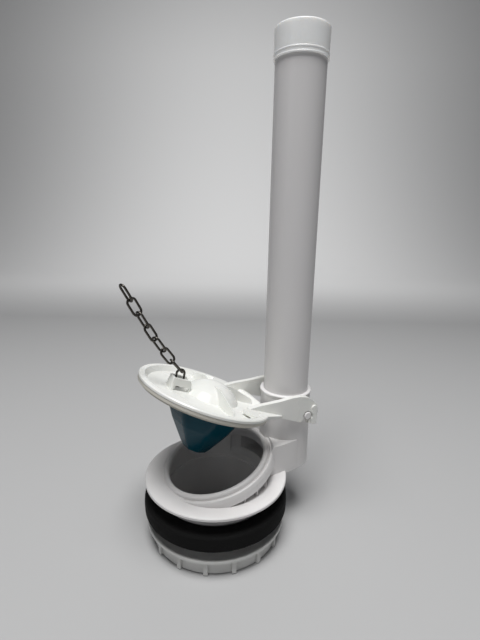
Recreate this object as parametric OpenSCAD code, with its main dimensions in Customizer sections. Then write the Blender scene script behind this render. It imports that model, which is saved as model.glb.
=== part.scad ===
// Cistern outlet valve, three inch size: moulded valve body with a sloping
// seat, hinged flapper with an air bulb, standing overflow tube with an end
// collar, gasket, ring nut and lifting chain. Sizes are in millimetres.
// Origin: on the axis of the threaded shank, at its lower end. +Z is up and
// +X points from the shank to the overflow tube.

/* [Shank and flange] */
// Height of the flange's upper face above the lower end of the shank
flange_z = 48.6; // [46:0.2:54]
// Radius of the flange that sits on the cistern's floor
flange_r = 54; // [53:0.5:57]
// Thickness of the flange
flange_t = 2.55; // [2:0.05:4]
// Outer radius of the shank, at the foot of its thread
shank_r = 41.7; // [41.2:0.1:42]
// Radius of the outlet bore
bore_r = 36; // [35.5:0.1:36.2]

/* [Seat] */
// Slope of the seat, low on the side away from the tube
seat_tilt = 15.7; // [12:0.1:18]
// Height of the seat's centre above the flange
seat_h = 12.4; // [11.5:0.1:13.5]
// Offset of the seat's centre from the shank's axis
seat_x = -0.7; // [-1.5:0.1:0]
// Radius of the seat's inner crest
seat_r = 39.1; // [38.5:0.1:39.5]
// Outer radius of the drum under the seat
drum_r = 40.5; // [40.2:0.1:41.2]

/* [Overflow] */
// Distance of the overflow tube's axis from the shank's axis
tube_x = 59.8; // [58:0.2:62]
// Outer radius of the overflow tube
tube_r = 17.5; // [16.5:0.1:18]
// Wall thickness of the overflow tube
tube_wall = 1.8; // [1.4:0.1:2.4]
// Height of the tube's upper end above the flange
tube_top = 309.4; // [220:1:330]
// Outer radius of the collar on the tube's upper end
collar_r = 18.7; // [18.5:0.1:19.2]
// Height of the collar
collar_h = 19; // [14:0.5:24]
// Outer radius of the socket that holds the tube, at its rim
socket_r = 19.7; // [19.5:0.1:20]
// Height of the socket's rim above the flange
socket_top = 59.7; // [56:0.1:64]
// Height of the water passage's roof above the flange
housing_h = 23.2; // [22:0.1:24]
// Slope of the passage's side walls in plan, millimetres for each millimetre
flare = 0.125; // [0.1:0.005:0.15]

/* [Hinge] */
// Distance of the hinge from the shank's axis
hinge_x = 65.2; // [65:0.1:66]
// Height of the hinge above the flange
hinge_h = 44.5; // [44:0.1:45]
// Radius of the hinge pins
pin_r = 3; // [2.6:0.1:3.2]
// Running clearance of the pins in the arms, on the radius
pin_gap = 0.06; // [0.03:0.01:0.1]

/* [Flapper] */
// How far the flapper stands open from level
open_tilt = 21.2; // [15:0.1:24]
// Radius of the flapper's rim
rim_r = 49.6; // [48.5:0.1:50]
// Thickness of the rim's hard upper layer
rim_t = 2.3; // [2:0.1:2.8]
// Thickness of the soft sealing layer below it
seal_t = 2.8; // [2.2:0.1:3]
// Depth of the flapper's floor below its rim
floor_d = 3.6; // [3:0.1:4]
// Height of the dome above the rim
dome_h = 7.5; // [6:0.1:9]
// Distance between the arms' outer faces
arm_out = 49.6; // [48:0.2:51]
// Thickness of each arm
arm_t = 3.8; // [3:0.1:4]
// Radius of the bulb where it joins the flapper
bulb_r = 30.4; // [29:0.1:31]
// Depth of the bulb
bulb_d = 39.4; // [34:0.1:41]

/* [Gasket and nut] */
// Outer radius of the gasket
gasket_r = 55; // [54:0.5:57]
// Thickness of the gasket
gasket_t = 11.2; // [8:0.2:12]
// Height of the gasket's lower face above the shank's end
gasket_z = 22.8; // [22:0.2:25]
// Height of the ring nut
nut_h = 13.4; // [12:0.2:14]
// Radius of the ring nut's lip
nut_r = 53; // [52:0.5:54]
// Number of grip ribs on the nut
nut_ribs = 16; // [12:1:18]

/* [Chain] */
// Thickness of the chain's wire
wire_d = 1.6; // [1.4:0.1:1.8]
// Inner length of one link
link_len = 10.8; // [10:0.1:12]
// Inner width of one link
link_w = 4.2; // [4:0.1:4.6]

/* [Hidden] */
$fn = 96;

core_end = flange_z - flange_t;       // the shank's upper end
crest_t = 2;                          // radius of the seat's rounded crest
out_r = 44.2;                         // outer edge of the seat ring
foot_r = socket_r + 0.7;              // socket and housing end at the flange
side_y = socket_r + 1.4;              // half width where the side walls meet the socket
lip_h = 10.2;                         // height of the seat ring's outer lip
wall = 2.3;                           // wall of the passage housing
win_az = 48.5;                        // half angle of the window in the drum
win_r = bore_r + 2.9;                 // depth of the window's recess
tube_in = tube_r - tube_wall;
pin_out = arm_out / 2 + 0.8;

// the flapper's own frame: a runs to the hinge, h stands off the rim
fl_x = -8.6;                          // rim centre along X
fl_z = flange_z + 68.8;               // rim centre along Z
hin_a = (hinge_x - fl_x) * cos(open_tilt) - (flange_z + hinge_h - fl_z) * sin(open_tilt);
hin_h = (hinge_x - fl_x) * sin(open_tilt) + (flange_z + hinge_h - fl_z) * cos(open_tilt);
rim_cut = 46.4;                       // the rim is cut back beside the socket
bead_a = 5.5;                         // axis of the sealing bead
bulb_a = 3.6;                         // axis of the bulb at its upper end
bulb_lean = 4.4;                      // offset of the bulb's lower end
dome_a = 5.8;
dome_r = 21;                          // foot of the dome
floor_t = 1.5;
post_a = -21.5;                       // cross bar of the chain post
post_h = 0.1;
bar_r = 1.1;
nut_z = 0.4;

// chain: lean of each link from the vertical, and its turn about its own line
wire_r = wire_d / 2;
slack = 0.45;
lean = [-10, 37, 35, 32, 29.5, 28.5, 27.5, 28];
turn = [0, -86, 19, -56, 34, -66, 14, -71];
reach = link_len / 2 + wire_r;        // link centre to the crown of its wire
function up(i) = [-sin(lean[i]), cos(lean[i])];
function unit(v) = v / norm(v);
bar_at = [fl_x + post_a * cos(open_tilt) + post_h * sin(open_tilt),
          fl_z - post_a * sin(open_tilt) + post_h * cos(open_tilt)];
function link_at(i) = i == 0
  ? bar_at + up(0) * (link_len / 2 - bar_r - 0.1)
  : link_at(i - 1) + up(i - 1) * reach
    - unit(up(i - 1) + up(i)) * (2 * wire_r + slack) + up(i) * reach;

function arc(x, y, r, a0, a1, n = 8) =
  [for (i = [0:n]) [x + r * cos(a0 + (a1 - a0) * i / n),
                    y + r * sin(a0 + (a1 - a0) * i / n)]];

module ring(r_out, r_in, h) {
  difference() {
    cylinder(r = r_out, h = h);
    translate([0, 0, -1]) cylinder(r = r_in, h = h + 2);
  }
}

module seat_frame() {
  translate([seat_x, 0, flange_z + seat_h]) rotate([0, -seat_tilt, 0]) children();
}

module flapper_place() {
  translate([fl_x, 0, fl_z]) rotate([0, open_tilt, 0]) children();
}

// ---- valve body -----------------------------------------------------------

// plan of the passage housing, from the drum to the socket
module housing_plan(inset = 0) {
  x0 = 24;
  x1 = tube_x - 0.5;
  y = side_y - inset;
  difference() {
    union() {
      translate([tube_x, 0]) circle(r = foot_r - 2 - max(inset - 1.7, 0));
      polygon([[x0, -y - flare * (x1 - x0)], [x1, -y], [x1, y], [x0, y + flare * (x1 - x0)]]);
    }
    if (inset > 0) translate([x0 - 1, -40]) square([5, 80]);
  }
}

// section of the seat ring: round inner crest, groove, lower outer crest and a
// lip that hangs clear of the drum
module seat_section() {
  polygon(concat(
    [[seat_r - crest_t, -11], [seat_r - crest_t, -crest_t]],
    arc(seat_r, -crest_t, crest_t, 175, 20),
    [[41.2, -3.3]],
    arc(42.75, -3.4, 1.15, 150, 0, 6),
    [[out_r, -5.2], [out_r, 0.3 - lip_h], [out_r - 0.3, -lip_h], [42.7, -lip_h],
     [42.5, -6.4], [drum_r - 0.6, -6.4], [drum_r - 0.6, -11]]));
}

module body_outside() {
  // flange with eased edges
  translate([0, 0, core_end]) rotate_extrude()
    polygon([[0, 0], [flange_r - 0.4, 0], [flange_r, 0.4], [flange_r, flange_t - 0.6],
             [flange_r - 0.6, flange_t], [0, flange_t]]);
  // shank with a lead-in at its lower end
  rotate_extrude()
    polygon([[0, 0], [shank_r - 1, 0], [shank_r, 1], [shank_r, core_end + 0.5], [0, core_end + 0.5]]);
  // plain neck between the thread and the flange
  translate([0, 0, core_end - 4]) cylinder(r = shank_r + 0.75, h = 4.5);
  // drum, cut off under the sloping seat ring
  difference() {
    translate([0, 0, core_end]) cylinder(r = drum_r, h = 30);
    seat_frame() translate([0, 0, -8]) cylinder(r = 80, h = 60);
  }
  // seat ring, down to the flange
  intersection() {
    seat_frame() rotate_extrude($fn = 128) seat_section();
    translate([-60, -60, core_end + 0.5]) cube([120, 120, 60]);
  }
  // thin ribs between the drum and the lip
  difference() {
    for (s = [-1, 1], i = [0:3]) rotate([0, 0, s * (54.5 + 15 * i)])
      translate([drum_r - 0.5, -0.45, core_end]) cube([2.9, 0.9, 24]);
    seat_frame() translate([0, 0, -6]) cylinder(r = 80, h = 60);
  }
  // passage housing, its roof sloping down to the seat ring's outer crest
  difference() {
    translate([0, 0, core_end]) linear_extrude(housing_h + flange_t) housing_plan();
    seat_frame() rotate_extrude($fn = 128)
      polygon([[0, -6.1], [43, -6.1], [43, -2.9], [57, 17.1], [0, 17.1]]);
  }
  // socket, slightly tapered, with a rounded rim
  translate([tube_x, 0, flange_z]) rotate_extrude()
    polygon(concat([[0, -flange_t], [foot_r, -flange_t], [socket_r, socket_top - 2.4]],
      arc(socket_r - 0.3, socket_top - 1.2, 1, -40, 80, 6),
      [[0, socket_top - 0.2]]));
  // hinge pins with rounded ends
  for (s = [-1, 1]) translate([hinge_x, 0, flange_z + hinge_h]) rotate([s * 90, 0, 0])
    translate([0, 0, tube_r - 0.1]) rotate_extrude($fn = 64)
      polygon([[0, 0], [pin_r, 0], [pin_r, pin_out - tube_r - 0.4],
               [pin_r - 0.5, pin_out - tube_r + 0.1], [0, pin_out - tube_r + 0.1]]);
}

module body_inside() {
  // outlet bore, the throat above it, then the seat's own sloping bore
  translate([0, 0, -1]) cylinder(r = bore_r, h = flange_z - 9);
  difference() {
    translate([0, 0, flange_z - 11]) cylinder(r = bore_r + 1.5, h = 50);
    seat_frame() translate([0, 0, -4]) cylinder(r = 80, h = 60);
  }
  seat_frame() translate([0, 0, -10]) cylinder(r = seat_r - crest_t, h = 40);
  // window with a sloping sill, and the water passage, both below the seat ring
  difference() {
    union() {
      intersection() {
        translate([0, 0, flange_z]) rotate_extrude()
          polygon([[30, -11], [bore_r, -11], [win_r, -1.5], [win_r, housing_h - wall],
                   [30, housing_h - wall]]);
        linear_extrude(120)
          polygon([[0, 0], [80, -80 * tan(win_az)], [80, 80 * tan(win_az)]]);
      }
      translate([0, 0, flange_z]) linear_extrude(housing_h - wall) housing_plan(wall);
    }
    seat_frame() translate([0, 0, 0.4 - lip_h]) cylinder(r = out_r + 1, h = 60);
  }
  // the way up to the tube
  translate([tube_x, 0, flange_z + 1]) cylinder(r = tube_in, h = housing_h + 20);
  // socket bore with its ledge for the tube
  translate([tube_x, 0, flange_z + housing_h]) cylinder(r = tube_r + 0.03, h = 60);
}

module valve_body() {
  color([0.86, 0.85, 0.84]) difference() {
    body_outside();
    body_inside();
  }
}

// ---- overflow -------------------------------------------------------------

module overflow_tube() {
  color([0.80, 0.79, 0.78]) translate([tube_x, 0, flange_z + housing_h])
    ring(tube_r, tube_in, tube_top - housing_h);
}

module tube_collar() {
  z0 = tube_top + 1.6 - collar_h;
  color([0.88, 0.88, 0.87]) translate([tube_x, 0, flange_z + z0]) rotate_extrude()
    polygon([[tube_r + 0.03, 0], [collar_r - 0.25, 0], [collar_r, 0.3], [collar_r, 0.9],
             [collar_r - 0.3, 1.2], [collar_r - 0.3, 2.9], [collar_r, 3.2], [collar_r, 3.7],
             [collar_r - 0.3, 4.0], [collar_r, collar_h - 0.5], [collar_r - 0.4, collar_h],
             [tube_in + 0.2, collar_h], [tube_in + 0.2, collar_h - 1.6],
             [tube_r + 0.03, collar_h - 1.6]]);
}

// ---- flapper --------------------------------------------------------------

// one hinge arm in side view: a along X, h along Y
module arm_side() {
  difference() {
    translate([hin_a, hin_h]) polygon([[26 - hin_a, -3.9 - hin_h], [-52.1, -4.1], [-44.6, -0.4],
      [-29.2, 5.9], [-19.3, 10.7], [-13.6, 12.7], [-9.6, 13.5], [-5.6, 13.8], [-2.4, 13.2],
      [1.9, 11.9], [4.9, 9.7], [7.2, 6.5], [7.9, 5], [9.6, -4.4], [2.5, -5.9], [-3.9, -6.3],
      [36.6 - hin_a, -rim_t - hin_h], [35.5 - hin_a, -3.9 - hin_h]]);
    // mouth of the snap-on hinge eye, with a lead-in
    translate([hin_a, hin_h]) polygon([[-2.85, 0], [2.85, 0], [2.6, -8], [-4.4, -8], [-2.85, -3.6]]);
  }
}

module arm() {
  translate([0, -(arm_out / 2 - arm_t), 0]) rotate([90, 0, 0]) difference() {
    union() {
      linear_extrude(arm_t) arm_side();
      // raised stiffening rib at the end of the arm, upright at rest
      translate([0, 0, arm_t - 0.1]) linear_extrude(1.6) intersection() {
        arm_side();
        translate([hin_a, hin_h]) rotate(open_tilt) union() {
          translate([2.9, -10]) square([4.6, 15.7]);
          translate([5.2, 5.7]) circle(r = 2.3, $fn = 48);
        }
      }
    }
    translate([hin_a, hin_h, -1]) cylinder(r = pin_r + pin_gap, h = arm_t + 4, $fn = 64);
    // shallow recess round the eye
    translate([hin_a, hin_h, arm_t - 0.8]) cylinder(r = pin_r + 0.9, h = 4, $fn = 64);
  }
}

// everything that hangs clear of the socket behind the rim
module rim_clear() {
  translate([rim_cut, -(arm_out / 2 - arm_t) - 0.01, -20])
    cube([30, arm_out - 2 * arm_t + 0.02, 40]);
}

module post() {
  w = 1.5;
  // wall on the side away from the hinge
  translate([-28.4, 0, 0]) rotate([90, 0, 90]) linear_extrude(w)
    polygon([[-6.6, -floor_d - 0.2], [6.6, -floor_d - 0.2], [3.4, 5], [-3.4, 5]]);
  for (s = [-1, 1]) translate([0, s > 0 ? 5 : -3.5, 0]) rotate([90, 0, 0]) linear_extrude(w)
    difference() {
      polygon([[-28, -floor_d - 0.2], [-13.2, -floor_d - 0.2], [-14.4, 3], [-16, 5], [-28, 5]]);
      translate([-25.6, -floor_d]) square([10.4, 3.1]);
    }
  translate([post_a, 4, post_h]) rotate([90, 0, 0]) cylinder(r = bar_r, h = 8, $fn = 32);
}

module flapper_frame() {
  color([0.93, 0.93, 0.90]) flapper_place() difference() {
    union() {
      difference() {
        union() {
          // rim and pan floor
          rotate_extrude($fn = 128)
            polygon([[0, -floor_d - floor_t], [44.4, -floor_d - floor_t], [44.4, -rim_t],
                     [rim_r - 0.2, -rim_t], [rim_r, -rim_t + 0.3], [rim_r, -0.7],
                     [rim_r - 0.7, 0], [45.6, 0], [42.6, -floor_d], [0, -floor_d]]);
          // flat webs beside the arms
          for (s = [-1, 1]) translate([0, 0, -rim_t]) linear_extrude(rim_t)
            polygon([[18.3, s * 27.8], [30, s * 21.5], [44, s * 21.5], [54.8, s * 24.6],
                     [53.5, s * 26], [23, s * 38.8]]);
        }
        rim_clear();
      }
      // dome
      translate([dome_a, 0, 0]) rotate_extrude()
        polygon(concat([[0, -floor_d - floor_t], [dome_r, -floor_d - floor_t], [dome_r, -floor_d]],
          [for (i = [1:9]) let (t = 1 - i / 10, r = dome_r * sin(90 * t) / sin(90))
            [dome_r * t, dome_h - (dome_h + floor_d) * (1 - sqrt(1 - 0.72 * t * t)) / (1 - sqrt(0.28))]],
          [[0, dome_h]]));
      // thin gussets: one to each side, one towards the hinge
      for (s = [-1, 1]) translate([1.5, 0, 0]) rotate([0, 0, s * 84]) rotate([90, 0, 0])
        translate([0, 0, -0.7]) linear_extrude(1.4)
          polygon([[6, 6.1], [17, 6.1], [39, 0], [42, -floor_d - 0.2], [6, -floor_d - 0.2]]);
      translate([dome_a, 0.7, 0]) rotate([90, 0, 0]) linear_extrude(1.4)
        polygon([[6, 6.1], [14, 6.1], [34, 0], [37, -floor_d - 0.2], [6, -floor_d - 0.2]]);
      post();
      arm();
      mirror([0, 1, 0]) arm();
    }
    // the dome is hollow
    translate([dome_a, 0, 0]) rotate_extrude()
      polygon(concat([[0, -floor_d - floor_t - 1], [dome_r - 2, -floor_d - floor_t - 1], [dome_r - 2, -floor_d - 0.4]],
        [for (i = [1:9]) let (t = 1 - i / 10)
          [(dome_r - 2) * t, dome_h - 1.6 - (dome_h + floor_d - 1.2) * (1 - sqrt(1 - 0.72 * t * t)) / (1 - sqrt(0.28))]],
        [[0, dome_h - 1.6]]));
  }
}

module flapper_seal() {
  z1 = -rim_t;
  z2 = -rim_t - seal_t;
  color([0.80, 0.78, 0.70]) flapper_place() difference() {
    union() {
      rotate_extrude($fn = 128)
        polygon([[44.45, z1], [rim_r - 0.6, z1], [rim_r - 0.3, z1 - 0.3], [rim_r - 0.3, z2 + 0.7],
                 [rim_r - 1.2, z2], [44.45, z2]]);
      difference() {
        translate([0, 0, z2 - 1]) cylinder(r = 47.2, h = 1);
        translate([bulb_a, 0, z2 - 2]) cylinder(r = bulb_r + 0.05, h = 4);
      }
      // round sealing bead
      translate([bead_a, 0, z2 - 1]) rotate_extrude()
        polygon(concat([[seat_r - 1.7, 0.5]], arc(seat_r, -0.9, 1.7, 180, 360, 12), [[seat_r + 1.7, 0.5]]));
    }
    rim_clear();
  }
}

// one level of the bulb: a softly cornered octagon
module bulb_level(r, d) {
  translate([bulb_lean * d / bulb_d, 0, -d]) rotate([0, 0, 37]) linear_extrude(0.1)
    offset(r = r * 0.3, $fn = 32) circle(r = r * 0.7, $fn = 8);
}

// a round upper end that turns to a soft octagon, and narrows on its way down
module bulb_form(r, d) {
  k = r / bulb_r;
  hull() {
    cylinder(r = r, h = 0.1, $fn = 64);
    bulb_level(28.6 * k, d * 0.2);
    bulb_level(26.2 * k, d * 0.34);
    bulb_level(23.2 * k, d * 0.49);
    bulb_level(19.4 * k, d * 0.64);
    bulb_level(15.2 * k, d * 0.8);
    bulb_level(12.6 * k, d * 0.9);
    bulb_level(9.6 * k, d - 0.1);
  }
}

module flapper_bulb() {
  color([0.03, 0.22, 0.27]) flapper_place() translate([bulb_a, 0, -floor_d - floor_t]) difference() {
    union() {
      translate([0, 0, -1]) cylinder(r = bulb_r, h = 1);
      translate([0, 0, -1.1]) bulb_form(bulb_r - 0.4, bulb_d - 1.1);
    }
    translate([0, 0, -1.1]) bulb_form(bulb_r - 2.7, bulb_d - 3.4);
    translate([0, 0, -1.2]) cylinder(r = bulb_r - 2.7, h = 3);
  }
}

// ---- gasket and nut -------------------------------------------------------

module tank_gasket() {
  color([0.06, 0.06, 0.065]) translate([0, 0, gasket_z]) rotate_extrude()
    polygon([[shank_r + 1.15, 0], [gasket_r - 1, 0], [gasket_r - 0.2, 0.8],
             [gasket_r, gasket_t * 0.5], [gasket_r - 0.4, gasket_t - 1], [gasket_r - 1.2, gasket_t],
             [shank_r + 1.15, gasket_t]]);
}

module lock_nut() {
  z1 = nut_h - 2.8;
  color([0.84, 0.84, 0.82]) translate([0, 0, nut_z]) difference() {
    union() {
      ring(shank_r + 4, shank_r + 1.15, nut_h);
      translate([0, 0, z1]) rotate_extrude()
        polygon([[shank_r + 1.15, 0], [nut_r - 2.5, 0], [nut_r - 2.2, 0.8], [nut_r, 0.8],
                 [nut_r, 2.3], [nut_r - 0.5, 2.8], [shank_r + 1.15, 2.8]]);
      rotate_extrude()
        polygon([[46.8, 0], [48.6, 0], [49.1, 0.5], [49.1, z1 + 0.5], [46.8, z1 + 0.5]]);
      for (i = [0:nut_ribs - 1]) rotate([0, 0, i * 360 / nut_ribs + 14.6]) {
        // grip rib outside, web inside
        translate([48, -1.55, 0.3]) cube([2.9, 3.1, z1]);
        translate([shank_r + 2, -0.8, 1]) cube([6, 1.6, z1]);
      }
    }
    translate([0, 0, -1]) cylinder(r = shank_r + 1.15, h = nut_h + 2);
  }
}

// ---- chain ----------------------------------------------------------------

module half_crown() {
  rotate([90, 0, 0]) intersection() {
    rotate_extrude($fn = 48) translate([link_w / 2 + wire_r, 0]) circle(r = wire_r, $fn = 24);
    translate([-10, 0, -5]) cube([20, 10, 10]);
  }
}

module link() {
  s = link_len / 2 - link_w / 2;
  for (m = [0, 1]) mirror([0, 0, m]) translate([0, 0, s]) half_crown();
  for (x = [-1, 1]) translate([x * (link_w / 2 + wire_r), 0, -s])
    cylinder(r = wire_r, h = 2 * s, $fn = 24);
}

module place_link(i) {
  p = link_at(i);
  color([0.30, 0.29, 0.27]) translate([p[0], 0, p[1]])
    rotate([0, -lean[i], 0]) rotate([0, 0, turn[i]]) link();
}

module chain_link_1() { place_link(0); }
module chain_link_2() { place_link(1); }
module chain_link_3() { place_link(2); }
module chain_link_4() { place_link(3); }
module chain_link_5() { place_link(4); }
module chain_link_6() { place_link(5); }
module chain_link_7() { place_link(6); }
module chain_link_8() { place_link(7); }

valve_body();
overflow_tube();
tube_collar();
flapper_frame();
flapper_seal();
flapper_bulb();
tank_gasket();
lock_nut();
chain_link_1();
chain_link_2();
chain_link_3();
chain_link_4();
chain_link_5();
chain_link_6();
chain_link_7();
chain_link_8();
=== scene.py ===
"""Looks of a three inch cistern outlet valve: materials, detail, floor, light and camera."""

import math

import bmesh
import bpy
from mathutils import Matrix, Vector


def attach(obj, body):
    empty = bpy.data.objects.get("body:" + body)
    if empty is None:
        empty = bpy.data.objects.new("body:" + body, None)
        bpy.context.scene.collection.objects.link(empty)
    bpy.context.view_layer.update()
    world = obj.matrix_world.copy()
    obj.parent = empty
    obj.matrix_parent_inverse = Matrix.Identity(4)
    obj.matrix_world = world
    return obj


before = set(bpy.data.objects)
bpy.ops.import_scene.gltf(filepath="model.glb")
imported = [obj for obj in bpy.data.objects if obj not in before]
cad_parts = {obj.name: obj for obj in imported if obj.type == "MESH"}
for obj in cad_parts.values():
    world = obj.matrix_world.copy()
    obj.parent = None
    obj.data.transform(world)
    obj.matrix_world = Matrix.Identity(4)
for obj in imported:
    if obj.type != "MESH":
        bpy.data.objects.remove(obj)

MM = 0.001
scene = bpy.context.scene
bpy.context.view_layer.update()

# ---------------------------------------------------------------- camera

cam_data = bpy.data.cameras.new("camera")
cam = bpy.data.objects.new("camera", cam_data)
scene.collection.objects.link(cam)
right = Vector((0.90254822, -0.4302102, 0.0180525))
up = Vector((0.08773203, 0.2247773, 0.9704526))
back = right.cross(up)
pos = Vector((-0.106149, -0.257664, 0.237989))
cam.matrix_world = Matrix(
    ((right.x, up.x, back.x, pos.x), (right.y, up.y, back.y, pos.y), (right.z, up.z, back.z, pos.z), (0, 0, 0, 1))
)
cam_data.sensor_fit = "AUTO"
cam_data.sensor_width = 36.0
cam_data.lens = 405.58 * 36.0 / 640.0
cam_data.clip_start = 0.01
cam_data.clip_end = 20.0
scene.camera = cam

# ---------------------------------------------------------------- materials


def new_mat(name):
    m = bpy.data.materials.new(name)
    m.use_nodes = True
    nt = m.node_tree
    nt.nodes.clear()
    out = nt.nodes.new("ShaderNodeOutputMaterial")
    p = nt.nodes.new("ShaderNodeBsdfPrincipled")
    nt.links.new(p.outputs["BSDF"], out.inputs["Surface"])
    return m, nt, p


def plastic(name, col, dark, rough, scale=1.0, bump=0.05, sss=0.0, sss_r=0.002, ior=1.5, coat=0.0, ease=0.00035):
    """Moulded plastic: soft colour drift, fine surface grain and uneven gloss."""
    m, nt, p = new_mat(name)
    n, l = nt.nodes, nt.links
    tc = n.new("ShaderNodeTexCoord")
    big = n.new("ShaderNodeTexNoise")
    big.inputs["Scale"].default_value = 22.0 * scale
    big.inputs["Detail"].default_value = 3.0
    l.new(tc.outputs["Object"], big.inputs["Vector"])
    fine = n.new("ShaderNodeTexNoise")
    fine.inputs["Scale"].default_value = 900.0 * scale
    fine.inputs["Detail"].default_value = 4.0
    l.new(tc.outputs["Object"], fine.inputs["Vector"])
    mix = n.new("ShaderNodeMix")
    mix.data_type = "RGBA"
    mix.inputs["A"].default_value = (*dark, 1)
    mix.inputs["B"].default_value = (*col, 1)
    ramp = n.new("ShaderNodeMapRange")
    ramp.inputs["From Min"].default_value = 0.3
    ramp.inputs["From Max"].default_value = 0.62
    l.new(big.outputs["Fac"], ramp.inputs["Value"])
    l.new(ramp.outputs["Result"], mix.inputs["Factor"])
    l.new(mix.outputs["Result"], p.inputs["Base Color"])
    rr = n.new("ShaderNodeMapRange")
    rr.inputs["To Min"].default_value = rough * 0.8
    rr.inputs["To Max"].default_value = rough * 1.3
    l.new(big.outputs["Fac"], rr.inputs["Value"])
    l.new(rr.outputs["Result"], p.inputs["Roughness"])
    soft = n.new("ShaderNodeBevel")
    soft.samples = 4
    soft.inputs["Radius"].default_value = ease
    b = n.new("ShaderNodeBump")
    b.inputs["Strength"].default_value = bump
    b.inputs["Distance"].default_value = 0.0004
    l.new(fine.outputs["Fac"], b.inputs["Height"])
    l.new(soft.outputs["Normal"], b.inputs["Normal"])
    l.new(b.outputs["Normal"], p.inputs["Normal"])
    p.inputs["IOR"].default_value = ior
    if sss:
        p.inputs["Subsurface Weight"].default_value = sss
        p.inputs["Subsurface Radius"].default_value = (1.0, 0.9, 0.8)
        p.inputs["Subsurface Scale"].default_value = sss_r
    if coat:
        p.inputs["Coat Weight"].default_value = coat
        p.inputs["Coat Roughness"].default_value = 0.08
    return m


white = plastic("white_moulding", (0.80, 0.785, 0.78), (0.74, 0.725, 0.715), 0.34, sss=0.06, sss_r=0.0015)
tube = plastic("tube_plastic", (0.70, 0.685, 0.685), (0.685, 0.67, 0.668), 0.30, sss=0.05, scale=0.5)
collar = plastic("clear_collar", (0.93, 0.93, 0.91), (0.89, 0.89, 0.87), 0.22, sss=0.5, sss_r=0.004, coat=0.3)
cp = collar.node_tree.nodes["Principled BSDF"]
# Painted glow: a faint emission of 0.06 stands in for light that passes through the thin translucent collar; the
# collar is not a lamp.
cp.inputs["Emission Color"].default_value = (1.0, 0.98, 0.95, 1)
cp.inputs["Emission Strength"].default_value = 0.06
flap = plastic("flapper_plastic", (0.84, 0.84, 0.81), (0.78, 0.79, 0.75), 0.26, sss=0.12, sss_r=0.0015)
seal = plastic("seal_rubber", (0.58, 0.56, 0.50), (0.52, 0.50, 0.44), 0.5, sss=0.15)
bulb = plastic("bulb_rubber", (0.0, 0.046, 0.070), (0.0, 0.030, 0.048), 0.16, ease=0.0006)
bulb.node_tree.nodes["Principled BSDF"].inputs["Specular IOR Level"].default_value = 0.14
gasket = plastic("gasket_rubber", (0.004, 0.004, 0.004), (0.002, 0.002, 0.002), 0.85, bump=0.5, ior=1.3)
nut = plastic("nut_plastic", (0.70, 0.70, 0.68), (0.63, 0.63, 0.61), 0.38, sss=0.06)


def drawn_wire():
    """Dull stainless wire: darker stains, and fine scratches that spread the highlight."""
    m, nt, p = new_mat("chain_metal")
    n, l = nt.nodes, nt.links
    tc = n.new("ShaderNodeTexCoord")
    stain = n.new("ShaderNodeTexNoise")
    stain.inputs["Scale"].default_value = 450.0
    stain.inputs["Detail"].default_value = 4.0
    l.new(tc.outputs["Object"], stain.inputs["Vector"])
    grain = n.new("ShaderNodeTexNoise")
    grain.inputs["Scale"].default_value = 5000.0
    l.new(tc.outputs["Object"], grain.inputs["Vector"])
    mix = n.new("ShaderNodeMix")
    mix.data_type = "RGBA"
    mix.inputs["A"].default_value = (0.035, 0.031, 0.026, 1)
    mix.inputs["B"].default_value = (0.15, 0.14, 0.125, 1)
    l.new(stain.outputs["Fac"], mix.inputs["Factor"])
    l.new(mix.outputs["Result"], p.inputs["Base Color"])
    rr = n.new("ShaderNodeMapRange")
    rr.inputs["To Min"].default_value = 0.22
    rr.inputs["To Max"].default_value = 0.5
    l.new(stain.outputs["Fac"], rr.inputs["Value"])
    l.new(rr.outputs["Result"], p.inputs["Roughness"])
    b = n.new("ShaderNodeBump")
    b.inputs["Strength"].default_value = 0.25
    b.inputs["Distance"].default_value = 0.0001
    l.new(grain.outputs["Fac"], b.inputs["Height"])
    l.new(b.outputs["Normal"], p.inputs["Normal"])
    p.inputs["Metallic"].default_value = 1.0
    return m


metal = drawn_wire()


def dress(node, mat):
    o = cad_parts[node]
    o.data.materials.clear()
    o.data.materials.append(mat)


for node, mat in {
    "valve_body": white,
    "overflow_tube": tube,
    "tube_collar": collar,
    "flapper_frame": flap,
    "flapper_seal": seal,
    "flapper_bulb": bulb,
    "tank_gasket": gasket,
    "lock_nut": nut,
}.items():
    dress(node, mat)
for i in range(1, 9):
    dress(f"chain_link_{i}", metal)

# ---------------------------------------------------------------- thread


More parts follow.
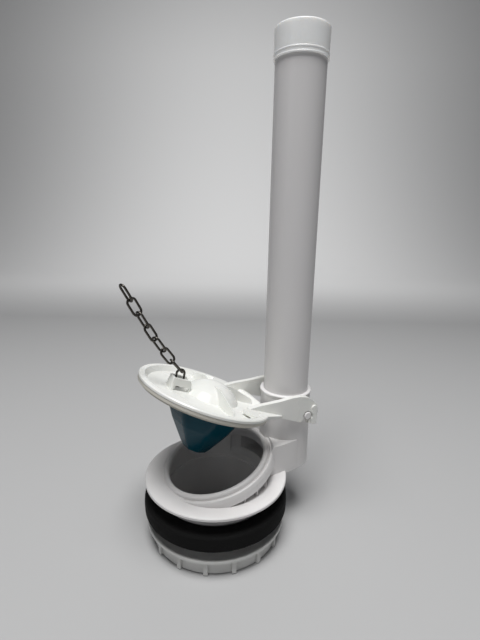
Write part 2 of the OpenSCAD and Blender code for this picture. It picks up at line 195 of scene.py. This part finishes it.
def thread():
    """Right-hand ridge of the shank's thread, 3 mm a turn, running out at both ends."""
    pitch, z0, z1, root, crest, steps = 3.0, 2.2, 40.4, 41.55, 42.5, 96
    turns = (z1 - z0) / pitch
    count = int(turns * steps)
    bm = bmesh.new()
    rows = []
    for i in range(count + 1):
        t = i / steps
        ang = 2 * math.pi * t
        fade = min(1.0, t / 0.3, (turns - t) / 0.3)
        r = root + (crest - root) * max(fade, 0.02)
        z = z0 + pitch * t
        c, s = math.cos(ang), math.sin(ang)
        rows.append([bm.verts.new((q * c * MM, q * s * MM, (z + dz) * MM))
                     for q, dz in ((root, -1.05), (r, -0.3), (r, 0.3), (root, 1.05))])
    for a, b in zip(rows, rows[1:]):
        for k in range(4):
            bm.faces.new((a[k], b[k], b[(k + 1) % 4], a[(k + 1) % 4]))
    bm.faces.new(rows[0])
    bm.faces.new(rows[-1][::-1])
    bmesh.ops.recalc_face_normals(bm, faces=bm.faces)
    me = bpy.data.meshes.new("shank_thread")
    bm.to_mesh(me)
    bm.free()
    for f in me.polygons:
        f.use_smooth = True
    me.set_sharp_from_angle(angle=math.radians(30))
    me.materials.append(white)
    o = bpy.data.objects.new("shank_thread", me)
    scene.collection.objects.link(o)
    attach(o, "valve_body")


thread()

# ---------------------------------------------------------------- floor and light


def floor():
    me = bpy.data.meshes.new("floor")
    bm = bmesh.new()
    n, depth = 24, 4.0
    prof = [(-4.0, 0.0)] + [(1.4 + 1.2 * math.sin(t), 1.2 * (1 - math.cos(t))) for t in [math.pi / 2 * i / n for i in range(n + 1)]] + [(2.6, 4.0)]
    rows = []
    for x in (-depth, depth):
        rows.append([bm.verts.new((x, y, z)) for y, z in prof])
    for i in range(len(prof) - 1):
        bm.faces.new((rows[0][i], rows[1][i], rows[1][i + 1], rows[0][i + 1]))
    bm.to_mesh(me)
    bm.free()
    for f in me.polygons:
        f.use_smooth = True
    o = bpy.data.objects.new("floor", me)
    scene.collection.objects.link(o)
    o.rotation_euler[2] = -math.radians(25.74)
    m, nt, p = new_mat("floor")
    p.inputs["Base Color"].default_value = (0.50, 0.50, 0.50, 1)
    p.inputs["Roughness"].default_value = 0.8
    me.materials.append(m)
    return o


floor()


def area(name, where, at, size, power, col=(1, 1, 1)):
    d = bpy.data.lights.new(name, "AREA")
    d.shape = "RECTANGLE"
    d.size, d.size_y = size
    d.energy = power
    d.color = col
    o = bpy.data.objects.new(name, d)
    scene.collection.objects.link(o)
    o.location = where
    o.rotation_euler = (Vector(at) - Vector(where)).to_track_quat("-Z", "Y").to_euler()
    return o


area("key", (-0.14, -0.27, 1.46), (0.02, 0, 0.1), (0.6, 0.6), 20.5)
area("behind", (0.45, 0.95, 1.1), (1.1, 2.3, 0.6), (1.6, 0.8), 24).visible_camera = False
area("left", (-1.3, -0.5, 0.8), (0, 0, 0.15), (0.5, 0.9), 0.8)

world = bpy.data.worlds.new("world")
world.use_nodes = True
world.node_tree.nodes["Background"].inputs["Color"].default_value = (0.92, 0.94, 1.0, 1)
world.node_tree.nodes["Background"].inputs["Strength"].default_value = 0.09
scene.world = world
scene.view_settings.view_transform = "Standard"
